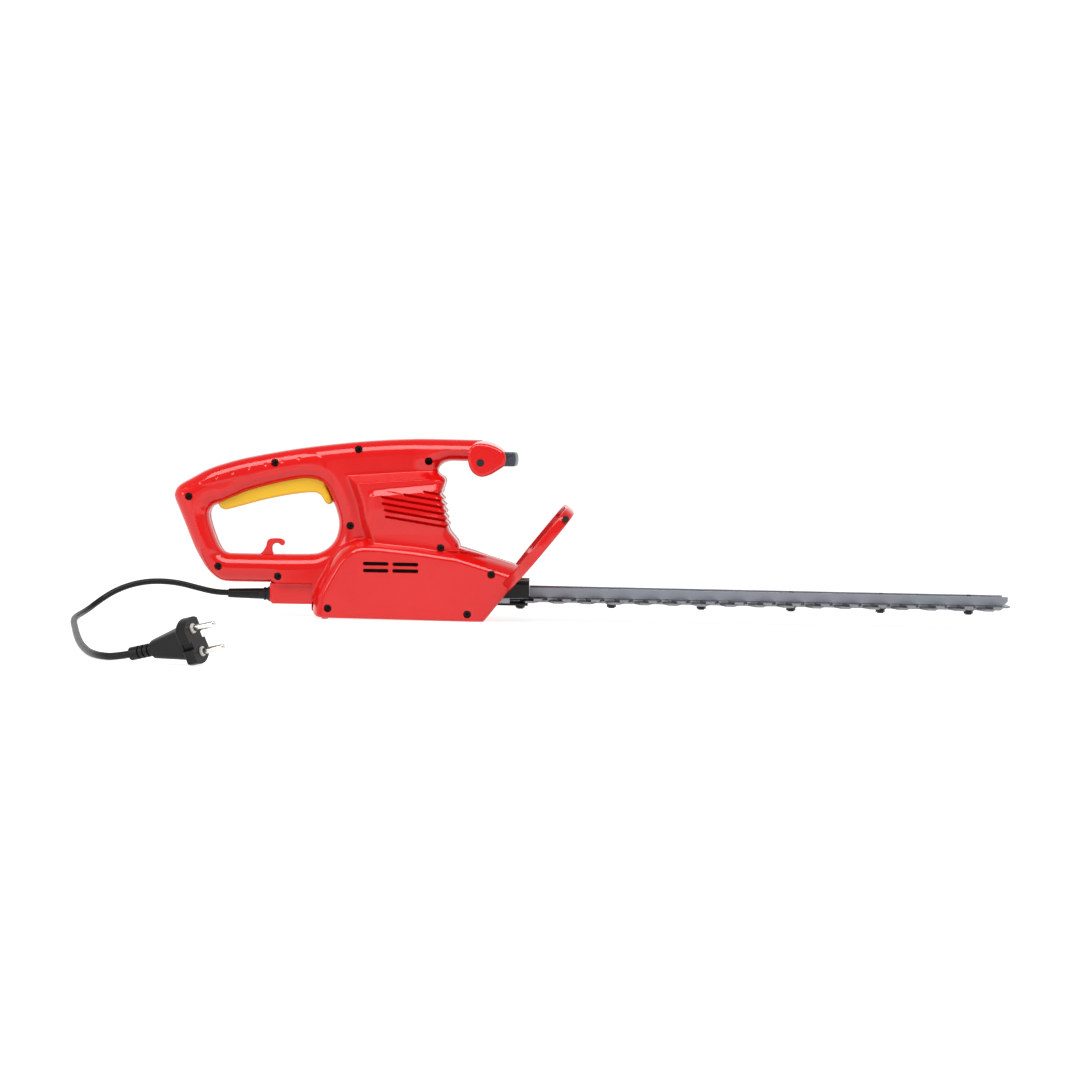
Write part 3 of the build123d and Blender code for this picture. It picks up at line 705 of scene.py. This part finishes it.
# -------- housing
@dataclass
class Housing:
    """The two moulded halves, as one height above the X-Z plane carried to each side of the seam."""

    step: float = 0.8
    grip: float = 17.5
    cover: float = 34.0
    pod: float = 38.0
    pad_middle: float = 28.0
    pivot: Pair = (-345, 114.5)
    screw_end: Pair = (-222.2, 159.3)
    recess_radius: float = 3.7
    recess_depth: float = 7.0
    vent_radius: float = 1.75
    dimple_radius: float = 1.3
    dimple_depth: float = 0.45
    outline: Sequence[Points] = (
        ((-305, 31.5), (-330, 31.5), (-347, 31.7), (-354, 33.6), (-359.5, 37.2), (-364.5, 42), (-370.2, 50),
         (-378, 64.3), (-386.1, 83.9), (-392.6, 99.6), (-396.6, 109), (-397.4, 114), (-395.6, 119.6), (-391, 124),
         (-380.6, 130.1), (-363.6, 139.2), (-339.4, 147.2), (-315.2, 152.8), (-288.7, 157.9), (-266.9, 161.4),
         (-244, 164.4), (-222.3, 166.9), (-200, 168.8), (-180, 170), (-163, 170.6), (-134, 170.6)),
        ((-106, 170.4),),
        ((-106, 150.2), (-122, 150), (-135, 150), (-142, 147.9), (-146.2, 144), (-147.2, 140.6), (-144.8, 137.3),
         (-141.2, 135), (-139.7, 131.3), (-140.6, 127.3), (-141.9, 123.5)),
        ((-142.4, 120.6),), ((-143.8, 118.4),), ((-140.5, 114.8),), ((-142.4, 112.2),), ((-138.9, 108.8),),
        ((-140.8, 106.2),), ((-137.8, 102.6),), ((-139.6, 100.0),), ((-136.5, 96.4),), ((-138.2, 94.0),),
        ((-135.0, 90.6),), ((-136.6, 88.2), (-134.6, 83.6), (-130.4, 78.6), (-127.2, 74.6), (-126, 71.4)),
        ((-125.4, 68.8), (-112, 64.9), (-95, 59.9)),
        ((-75.1, 54),), ((-62.8, 48.8),), ((-99.6, 2.2),), ((-101.6, 0.1),), ((-116, 0),),
        ((-247, 1.2), (-254, 1.6), (-259.4, 2.8), (-263.2, 5.4), (-265.2, 9)),
        ((-265.4, 11.9),), ((-302.2, 11.8),), ((-304.9, 14.4),))
    hole: Sequence[Points] = (
        ((-354.2, 105.6), (-360, 103.2), (-363.3, 98.6), (-363.4, 92.4), (-361.4, 84.6), (-357.8, 74.6),
         (-354.2, 66.4), (-350.6, 61.4), (-346, 59.2), (-338, 58.8), (-300, 58.8), (-268, 59.4), (-258, 61.4),
         (-249.6, 66.8), (-243.8, 74.6), (-241.2, 84), (-241.2, 92), (-243.4, 101), (-246.6, 109),
         (-249.8, 116), (-252.6, 121.5), (-257, 126.4), (-263, 129.2), (-270, 129.9), (-280, 129),
         (-300, 124.8), (-319.2, 119.6), (-340, 112.4)),)
    cover_edge: Points = ((-237, 137.2), (-157, 143.2), (-148, 142.6), (-100, 142.6), (-95, 55), (-210, 55),
                          (-216, 70), (-222, 88), (-226, 108))
    pod_edge: Points = ((-266, 8), (-263.6, 24), (-261.4, 31), (-255, 43.6), (-246.6, 58), (-240, 66), (-231.5, 72.6),
                        (-224, 76.4), (-215, 78), (-200, 77.6), (-165, 74.4), (-125.4, 69.2), (-112, 65.2),
                        (-95, 60.2), (-75, 54.4), (-61, 48.8), (-20, 40), (-20, -60), (-300, -60), (-300, -10))
    screws: Points = ((-381.6, 112.2), (-300.9, 145.3), (-222.2, 159.3), (-155.7, 149.5), (-229.0, 87.3),
                      (-142.6, 68.4), (-94.6, 44.6), (-116.5, 7.0), (-247.2, 10.4), (-353.3, 46.7), (-296.8, 38.2))
    louvres: Points = ((-159.1, 0), (-177.7, 1), (-198.5, 2), (-198.0, 3), (-196.1, 4), (-194.4, 5))
    louvre_slope: float = -0.155
    louvre_top: float = 120.9
    louvre_pitch: float = 5.85
    vents: Sequence[Triple] = (
        (-213.0, -192.4, 53.0), (-185.5, -164.6, 52.8), (-212.8, -192.4, 46.5), (-185.4, -164.5, 46.6))
    pad_edge: Points = ((-391, 117), (-372.3, 124.6), (-369.4, 122.4), (-332.3, 130.5), (-300, 128), (-251.9, 128),
                        (-251.9, 136.1), (-253.4, 145), (-257, 151.4), (-262, 154.8), (-271, 155.4), (-280, 180),
                        (-420, 180))
    dimples: Points = ((-355.8, 130.2), (-340.7, 134.7), (-325.1, 139.6), (-309.5, 143.5), (-293.9, 146.7),
                       (-278.3, 149.7))

    def half_width(self, at: np.ndarray) -> tuple[np.ndarray, np.ndarray]:
        """Half width of the body before its outer edge is rounded, and that rounding's radius.

        The grip is level, 6 wider under the front handle and 4.5 narrower at the cord's block. The motor cover
        rises from it on a bevel and the pod on a quarter round of 15, cut off at 13. The larger is taken with a
        small blend, and the grip's pad lies on top.

        Args:
            at: (x, z) points.

        Returns:
            Half widths and radii.
        """
        x, z = at.T
        body = self.grip + 6.0 * ramp(x, -172, -140) * ramp(z, 140, 152)
        body = body - 4.5 * (x < -264) * (1 - ramp(z, 30.6, 32.4)) * (z < 33)
        body = soft_max(body, self.cover_height(at), 0.9)
        rise = depth_in(at, np.array(self.pod_edge))
        pod = np.where(rise > 0, self.pod * np.minimum(quarter(rise / 15.0) / quarter(np.array(13.0 / 15.0)), 1), 0)
        body = soft_max(body, pod, 1.6)
        return body + 0.45 * self.grip_pad(at), self.edge_radius(at, rise)

    def cover_height(self, at: np.ndarray) -> np.ndarray:
        """Motor cover: a straight bevel 11 wide, and on it a ledge 3.2 high that slopes down to the louvres."""
        x, z = at.T
        bevel = np.clip(depth_in(at, np.array(self.cover_edge)) / 11.0, 0, 1)
        top = 121.4 + (x + 206.9) * 0.1234
        low = 116.1 + (x + 199.6) * 0.105
        ledge = np.clip((top - z) / np.maximum(top - low, 2.5), 0, 1) * ramp(x, -212, -204) * ramp(z, 80, 104)
        cover = self.grip - 4 + (self.cover - self.grip + 4) * bevel
        return cover + 3.2 * ledge - 2.4 + self.fins(at) * ledge

    def edge_radius(self, at: np.ndarray, rise: np.ndarray) -> np.ndarray:
        """Rounding of the outer edge, by region.

        It is 15 on the grip, 10 down the rear strut, 7 along the front, 3 on the pod and 2.2 on the cord's
        block. Round the trigger's pivot it is 4 less, so the skin covers the pin.

        Args:
            at: (x, z) points.
            rise: their depth inside the pod's edge.

        Returns:
            Radii.
        """
        x, z = at.T
        front = ramp(x, -178, -158) * (1 - ramp(z, 140, 150))
        strut = ramp(x, -374, -366) * (1 - ramp(x, -352, -344)) * ramp(z, 56, 64) * (1 - ramp(z, 98, 106))
        radius = 15.0 * (1 - front) + 7.0 * front
        radius = radius - 5.0 * strut
        pivot = np.hypot(x - self.pivot[0], z - self.pivot[1])
        radius = np.where(radius > 10.5, radius - 4.0 * (1 - ramp(pivot, 6, 16)), radius)
        share = np.clip(rise / 10, 0, 1)
        radius = radius * (1 - share) + 3.0 * share
        return np.where((x < -264) & (z < 31), 2.2, radius)

    def fins(self, at: np.ndarray) -> np.ndarray:
        """Saw-tooth between the louvre grooves: each fin leans out by 0.9 towards its lower edge."""
        x, z = at.T
        rung = (self.louvre_top + self.louvre_slope * (x + 159.1) - z) / self.louvre_pitch + 0.02
        lean = (rung - np.floor(rung)) * 0.9
        return np.where((rung > 0) & (rung < 5.4), lean, 0) * ramp(x, -197, -191)

    def grip_pad(self, at: np.ndarray) -> np.ndarray:
        """1 on the raised upper part of the grip and 0 off it, stepping over 0.9; it fades out in the middle."""
        x = at[:, 0]
        inside = np.clip(depth_in(at, np.array(self.pad_edge)) / 0.9, 0, 1)
        return inside * (1 - ramp(x, -338, -316) * (1 - ramp(x, -278, -262)))

    def grooves(self, at: np.ndarray) -> np.ndarray:
        """Depth cut by the louvre grooves: a parabola across each, from its own start to the front edge."""
        x, z = at.T
        cut = np.zeros(len(at))
        for x0, rung in self.louvres:
            middle = self.louvre_top + self.louvre_slope * (x + 159.1) - rung * self.louvre_pitch
            across = np.abs(z - middle) / 1.25
            cut = np.maximum(cut, 3.0 * np.clip(1 - across ** 2, 0, 1) * ramp(x, x0 - 0.8, x0 + 0.8))
        return cut

    def grid(self) -> tuple[np.ndarray, np.ndarray]:
        """Grid over the outline; its rows slope with the louvres around them and are level elsewhere.

        The row spacing is an eighth of the louvre pitch and one row runs along each groove.
        """
        rise = self.louvre_pitch / 8
        x, z = np.meshgrid(np.arange(-399, -59, self.step),
                           self.louvre_top + rise * np.arange(-167, 71), indexing="ij")
        near = ramp(z, 58, 88) * (1 - ramp(z, 124, 152)) * ramp(x, -242, -206)
        return x, z + self.louvre_slope * (np.clip(x, -206, -112) + 159.1) * near

    def build_half(self, side: int, palette: Palette) -> None:
        """Makes one half.

        The grid's cells inside the outline are kept, and their outer corners are moved on to the outline.
        Every point then goes out to the half width there, less the edge rounding r (1 - q) with q the quarter
        round of its depth inside the outline over r, less the grooves, recesses and vents. On the right the
        skin swells by 1.9 over the end of one screw. Walls run from the rim to the seam, a small groove. Faces in the
        left half's screw recesses and in the vents are near-black painted shade.

        Args:
            side: -1 for the left half and 1 for the right.
            palette: the finishes.
        """
        outer, hole = rounded_path(self.outline), rounded_path(self.hole)
        gx, gz = self.grid()
        at = np.stack([gx.ravel(), gz.ravel()], 1)
        d_out, near_out = edge_distance(at, outer)
        d_hole, near_hole = edge_distance(at, hole)
        inner = np.where(is_inside(at, outer), d_out, -d_out)
        clear = np.where(is_inside(at, hole), -d_hole, d_hole)
        depth = np.minimum(inner, clear)
        nearest = np.where((d_out < d_hole)[:, None], near_out, near_hole)
        ok = (depth > -0.3 * self.step).reshape(gx.shape)
        cell = ok[:-1, :-1] & ok[1:, :-1] & ok[1:, 1:] & ok[:-1, 1:]
        number = np.arange(at.shape[0]).reshape(gx.shape)
        quads = np.stack([number[:-1, :-1][cell], number[1:, :-1][cell], number[1:, 1:][cell],
                          number[:-1, 1:][cell]], 1)
        used = np.unique(quads)
        renumber = np.full(len(at), -1)
        renumber[used] = np.arange(len(used))
        quads = renumber[quads]
        at, depth, nearest = at[used], depth[used], nearest[used]
        edges = np.vstack([quads[:, [k, (k + 1) % 4]] for k in range(4)])
        keys = edges.min(1).astype(np.int64) * len(at) + edges.max(1)
        _, first, count = np.unique(keys, return_index=True, return_counts=True)
        rim = edges[first[count == 1]]
        rim_points = np.unique(rim)
        at[rim_points] = nearest[rim_points]
        depth[rim_points] = 0
        # dark marks the points inside the left half's screw recesses and inside the vents; their faces get near-black
        # painted shade.
        dark, dimples = np.zeros(len(at), bool), np.zeros(len(at), bool)
        for x0, z0 in self.dimples:
            dimples |= self.sink(at, (x0, z0), (x0 + 0.01, z0), self.dimple_radius)
        for x0, z0 in self.screws if side < 0 else ():
            dark |= self.sink(at, (x0, z0), (x0 + 0.01, z0), self.recess_radius)
        for x0, x1, z0 in self.vents:
            dark |= self.sink(at, (x0, z0), (x1, z0), self.vent_radius)
        body, radius = self.half_width(at)
        round_off = radius * (1 - quarter(np.maximum(depth, 0) / radius))
        height = body - round_off - self.grooves(at)
        height = height - np.where(dark, self.recess_depth, 0) - np.where(dimples, self.dimple_depth, 0)
        if side > 0:
            end = np.hypot(at[:, 0] - self.screw_end[0], at[:, 1] - self.screw_end[1])
            height += 1.9 * (1 - ramp(end, 3, 12)) * np.clip(depth / 5, 0, 1)
        n = len(at)
        seam = np.full(n, -1)
        seam[rim_points] = np.arange(len(rim_points))
        m = len(rim_points)
        lip = at[rim_points]
        turn_in = self.seam_groove(lip, outer, hole)
        verts = np.vstack([np.stack([at[:, 0], side * height, at[:, 1]], 1),
                           np.stack([lip[:, 0], np.full(m, side * 0.45), lip[:, 1]], 1),
                           np.stack([turn_in[:, 0], np.zeros(m), turn_in[:, 1]], 1)])
        a, b = rim[:, 0], rim[:, 1]
        walls = np.vstack([np.stack([b, a, n + seam[a], n + seam[b]], 1),
                           np.stack([n + seam[b], n + seam[a], n + m + seam[a], n + m + seam[b]], 1)])
        faces = np.vstack([quads, walls])
        if side > 0:
            faces = faces[:, ::-1]
        name = "left" if side < 0 else "right"
        made = make_mesh(f"{name}_housing_half", (verts, faces), palette.of(Finish.RED), "housing",
                         [f"{name}_housing_shell"], 50.0)
        # Faces with three dark corners or more take the near-black finish: painted shade inside the screw holes and
        # vents.
        made.data.materials.append(palette.of(Finish.SHADOW))
        painted_shade_faces = np.zeros(len(made.data.polygons), np.int32)
        painted_shade_faces[:len(quads)] = dark[quads].sum(1) >= 3
        made.data.polygons.foreach_set("material_index", painted_shade_faces)

    def sink(self, at: np.ndarray, start: Pair, end: Pair, radius: float) -> np.ndarray:
        """Draws points near a hole's rim on to it, and tells which lie inside the hole.

        The hole is all that lies within the radius of a line from start to end. Points within a step of its
        rim move along their own ray from that line: those 0.35 of a step inside it or further out go on to
        the rim, and those behind them to 0.35 mm inside it, so the wall stands nearly straight.

        Args:
            at: (x, z) points, changed in place.
            start: one end of the hole's middle line.
            end: its other end.
            radius: half the hole's width.

        Returns:
            Whether each point is inside the hole.
        """
        d, near = edge_distance(at, np.array([start, end]), closed=False)
        d = np.maximum(d, 1e-6)
        ray = (at - near) / d[:, None]
        rim = (d >= radius - 0.35 * self.step) & (d < radius + 0.65 * self.step)
        at[rim] = (near + ray * radius)[rim]
        wall = (d < radius - 0.35 * self.step) & (d > radius - 1.2 * self.step)
        at[wall] = (near + ray * (radius - 0.35))[wall]
        return d < radius - 0.35 * self.step

    def seam_groove(self, lip: np.ndarray, outer: np.ndarray, hole: np.ndarray) -> np.ndarray:
        """Rim points moved 0.4 into the material, where the halves meet."""
        normals = np.vstack([inward(outer), -inward(hole)])
        loops = np.vstack([outer, hole])
        moved = lip.copy()
        for lo in range(0, len(lip), 1000):
            part = lip[lo:lo + 1000]
            i = ((part[:, None, :] - loops) ** 2).sum(2).argmin(1)
            moved[lo:lo + 1000] = part + normals[i] * 0.4
        return moved

    def build(self, palette: Palette) -> None:
        """Makes both halves, the hook and the two heel pads."""
        for side in (-1, 1):
            self.build_half(side, palette)
            pad = rounded_path((((-253.3, 0.9), (-252.7, 0.1)), ((-247.8, 0.1), (-247.2, 0.9)), ((-247.2, 5),),
                                ((-253.3, 5),)), 0.6)
            verts, faces = rounded_block(pad, 4.0, 0.6)
            verts[:, 1] += self.pad_middle * side
            name = f"heel_pad_{'left' if side < 0 else 'right'}"
            make_mesh(name, (verts, faces), palette.of(Finish.RED), "housing")
        hook = rounded_path((((-318.5, 56.5), (-313.5, 60.5), (-310, 66), (-308.9, 70.6), (-306.8, 72.8), (-303, 73.6),
                              (-297, 73.5), (-293.4, 72.2), (-292.1, 69.8), (-293, 67.4), (-295.2, 66.9),
                              (-297.6, 68.6), (-300.6, 69), (-303.2, 67.4), (-304, 64.6), (-303.6, 61), (-301.5, 56.5)),
                             ((-301.5, 56.5),)), 0.8)
        make_mesh("cord_hook", rounded_block(hook, 3.5, 1.0), palette.of(Finish.RED), "housing")


# -------- front handle, trigger and guard
@dataclass
class FrontHandle:
    """Cross bar with a drop-shaped section, taller in the middle, and the switch bar along its front."""

    half: float = 60.0
    switch_half: float = 48.0
    screw: Pair = (-105.9, 149.2)
    screw_recess: float = 3.6
    section: Points = ((-106.6, 169.6), (-112.6, 167.8), (-116.6, 162.8), (-117.6, 155), (-116.6, 146.8),
                       (-112.6, 139.8), (-105.4, 136.2), (-97.4, 138.0), (-89.6, 142.6), (-84.6, 146.2),
                       (-82.6, 150.4), (-82.3, 155.4), (-84.2, 160.4), (-88.6, 164.2), (-97, 168.2))
    switch: Points = ((-95, 146.3), (-80, 146.2), (-75.6, 146.4), (-74, 148), (-73.4, 152.8), (-74, 157.6),
                      (-75.6, 159.3), (-80, 159.5), (-95, 159.4))

    def section_at(self, loop: np.ndarray, y: float) -> np.ndarray:
        """Section at a station: heights above 150 shrink by 14% of (y / half)^2, and the last 3 mm round in."""
        grow = 1 - 0.14 * (y / self.half) ** 2
        out = loop.copy()
        out[:, 1] = np.where(out[:, 1] > 150, 150 + (out[:, 1] - 150) * grow, out[:, 1])
        near_end = max(0.0, abs(y) - (self.half - 3.0)) / 3.0
        return out + inward(out) * 3.0 * (1 - math.sqrt(max(0.0, 1 - near_end ** 2)))

    def switch_at(self, loop: np.ndarray, y: float) -> np.ndarray:
        """Switch bar section: its front swells 1.9 mm in the middle, as 1 - (y / 48)^2, and its ends round in."""
        out = loop.copy()
        out[:, 0] += np.where(out[:, 0] > -90, 1.9 * (1 - (y / self.switch_half) ** 2), 0)
        near_end = max(0.0, abs(y) - (self.switch_half - 1.8)) / 1.8
        return out + inward(out) * 1.8 * (1 - math.sqrt(max(0.0, 1 - near_end ** 2)))

    def stations(self, half: float, radius: float) -> np.ndarray:
        """Stations across a body, closer together over the rounding at each end."""
        end = half - radius + radius * np.sin(np.linspace(0, math.pi / 2, 7))
        middle = np.linspace(-(half - radius), half - radius, 41)
        return np.concatenate([-end[::-1][:-1], middle, end[1:]])

    def build(self, palette: Palette) -> None:
        """Makes the bar, the switch bar, and a thin near-black disk on the bar's left end: painted shade over its screw
        hole.
        """
        loop = rounded_path((self.section,), 1.0)
        verts, faces = loft_across(loop, self.stations(self.half, 3.0), self.section_at)
        make_mesh("front_cross_bar", (verts, faces), palette.of(Finish.RED), "housing", sharp=60.0)
        loop = rounded_path((self.switch[:-1], (self.switch[-1],)), 0.7)
        verts, faces = loft_across(loop, self.stations(self.switch_half, 1.8), self.switch_at)
        make_mesh("switch_bar", (verts, faces), palette.of(Finish.SLATE), "switch_bar",
                  ["front_switch_bar"], 60.0)
        # A thin near-black disk on the end face, not a cut recess: painted shade standing in for the screw hole.
        turn = np.linspace(0, 2 * math.pi, 40, endpoint=False)
        ring = self.screw + self.screw_recess * np.stack([np.cos(turn), np.sin(turn)], 1)
        verts, faces = rounded_block(ring, 0.4, 0.15, steps=2)
        verts[:, 1] -= self.half - 0.25
        make_mesh("bar_screw_painted_shade", (verts, faces), palette.of(Finish.SHADOW), "housing")


@dataclass
class Trigger:
    """Long yellow trigger with rounded edges and a small finger stop at its front."""

    half: float = 8.0
    rounding: float = 2.6
    outline: Sequence[Points] = (
        ((-354.6, 110), (-355, 105.6), (-353, 102), (-348.8, 100.2), (-344, 101), (-330, 105), (-314.7, 109.4),
         (-302, 112.4), (-290.4, 114.8), (-278, 116.8), (-268, 117.9), (-262.5, 117.6), (-258.6, 115.6),
         (-256, 112.4), (-254.2, 109.2), (-251.8, 107.2), (-249, 107.2), (-247.6, 109), (-248.2, 112.6),
         (-250.6, 118.4), (-253.6, 124.4), (-256, 131)),
        ((-276, 134.5), (-292, 131.5), (-320, 124.4), (-338, 120.6), (-348, 119)))

    def build(self, palette: Palette) -> None:
        """Makes the trigger."""
        loop = rounded_path(self.outline, 0.9)
        verts, faces = rounded_block(loop, self.half, self.rounding)
        make_mesh("trigger", (verts, faces), palette.of(Finish.YELLOW), "trigger", ["rear_trigger"], 60.0)


@dataclass
class HandGuard:
    """Slanted guard plate with a rim, standing on the front of the pod."""

    foot: Pair = (-101.0, 0.3)
    slant: float = 51.4
    half_outline: Points = ((36, 0), (36, 20), (37, 34), (42, 44), (50, 56), (60, 69), (72, 79.6), (86, 83.8),
                            (100, 84), (112, 83.2), (122, 80), (129, 72), (132.4, 60), (133, 44), (133.2, 22))

    def build(self, palette: Palette) -> None:
        """Makes the guard.

        Its section runs from the middle of the front face to the rim, round the rim's outer and inner edges,
        and back along the plate to the middle. Each entry is (share of the outline's radius left, inset in mm,
        height above the front plane), carried round the outline.
        """
        half = list(self.half_outline)
        loop = rounded_path((half + [(s, -y) for s, y in reversed(half[1:])],), 1.6)
        middle = np.array([90.0, 0.0])
        normal = inward(loop)
        section = [(0.02, 0, -0.3), (0.5, 0, -0.3), (0.9, 0, -0.3), (1, 2.0, -0.3), (1, 0.8, 0.0), (1, 0.15, 0.6),
                   (1, 0, 1.5), (1, 0, 7.6), (1, 0.2, 8.6), (1, 0.9, 9.25), (1, 1.6, 9.4), (1, 2.0, 9.3),
                   (1, 2.6, 8.8), (1, 2.9, 8.0), (1, 3.0, 4.4), (1, 3.5, 3.3), (1, 4.6, 2.85), (0.9, 0, 2.8),
                   (0.5, 0, 2.8), (0.02, 0, 2.8)]
        rings = []
        for share, inset, high in section:
            flat = middle + (loop + normal * inset - middle) * share
            rings.append(np.stack([flat[:, 0], flat[:, 1], np.full(len(flat), high)], 1))
        local, faces = closed_tube(rings, signed_area(loop) > 0)
        c, s = math.cos(math.radians(self.slant)), math.sin(math.radians(self.slant))
        verts = np.stack([self.foot[0] + local[:, 0] * c - local[:, 2] * s, local[:, 1],
                          self.foot[1] + local[:, 0] * s + local[:, 2] * c], 1)
        make_mesh("guard", (verts, faces), palette.of(Finish.RED_GUARD), "housing", ["hand_guard"], 50.0)


# -------- pieces carried over from the frame
@dataclass
class CarriedOver:
    """Pieces whose machined shape is already right: they get a finish, and a small bevel where it shows."""

    finishes: dict[Finish, str] = field(default_factory=lambda: {
        Finish.FASTENER: "housing_screws guard_screws case_screws guide_bolts guide_nuts guide_washers",
        Finish.CASE: "gear_case bottom_cover",
        Finish.GUIDE: "guide_plates guide_collars",
        Finish.BRONZE: "crank_bushes",
        Finish.BLADE: "upper_blade lower_blade",
        Finish.RAIL: "blade_rail",
        Finish.GEAR: "motor_pinion drive_gear crankshaft motor_shaft lower_bearing upper_bearing",
        Finish.ZINC: "crank_clip trigger_pin trigger_spring front_switch_springs clamp_screws",
        Finish.LAMINATION: "armature_core stator_core",
        Finish.COPPER: "armature_coils field_coils",
        Finish.BRASS: "commutator brush_holders",
        Finish.DARK_FAN: "cooling_fan",
        Finish.BLACK: "brush_plate rear_switch front_switch cord_clamp",
        Finish.CARBON: "carbon_brushes",
        Finish.PALE: "rear_switch_plunger front_switch_plunger plug_collars",
        Finish.FILM: "suppressor",
        Finish.PLUG: "plug_body",
        Finish.NICKEL: "plug_pins"})
    bevels: dict[str, float] = field(default_factory=lambda: {
        "gear_case": 0.8, "guide_plates": 0.35, "bottom_cover": 0.35, "upper_blade": 0.55, "lower_blade": 0.55,
        "blade_rail": 0.4, "guide_bolts": 0.5, "guide_nuts": 0.4, "guide_washers": 0.2})

    def build(self, nodes: dict[str, bpy.types.Object], palette: Palette) -> None:
        """Gives every carried-over node its finish and bevel."""
        for name, finish in ((name, finish) for finish, names in self.finishes.items() for name in names.split()):
            node = nodes[name]
            node.data.materials.clear()
            node.data.materials.append(palette.of(finish))
            if name in self.bevels:
                weld = node.modifiers.new("weld", "WELD")
                weld.merge_threshold = 0.02 * MM
                bevel = node.modifiers.new("bevel", "BEVEL")
                bevel.width = self.bevels[name] * MM
                bevel.segments = 2
                bevel.limit_method = "ANGLE"
                bevel.angle_limit = math.radians(40)
            LOG.info("%s: %s", name, finish.name.lower())


def main() -> dict[str, Any]:
    """Builds everything in order."""
    logging.basicConfig(level=logging.INFO, format="%(message)s")
    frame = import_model()
    sizes = {"cad": [list(map(float, corner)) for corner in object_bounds()]}
    palette = Palette()
    studio = Studio()
    studio.set_camera()
    MainsLead().build(palette)
    Housing().build(palette)
    FrontHandle().build(palette)
    Trigger().build(palette)
    HandGuard().build(palette)
    CarriedOver().build(frame["nodes"], palette)
    studio.build()
    sizes["visual"] = [list(map(float, corner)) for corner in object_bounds()]
    return sizes


if __name__ == "__main__":
    main()
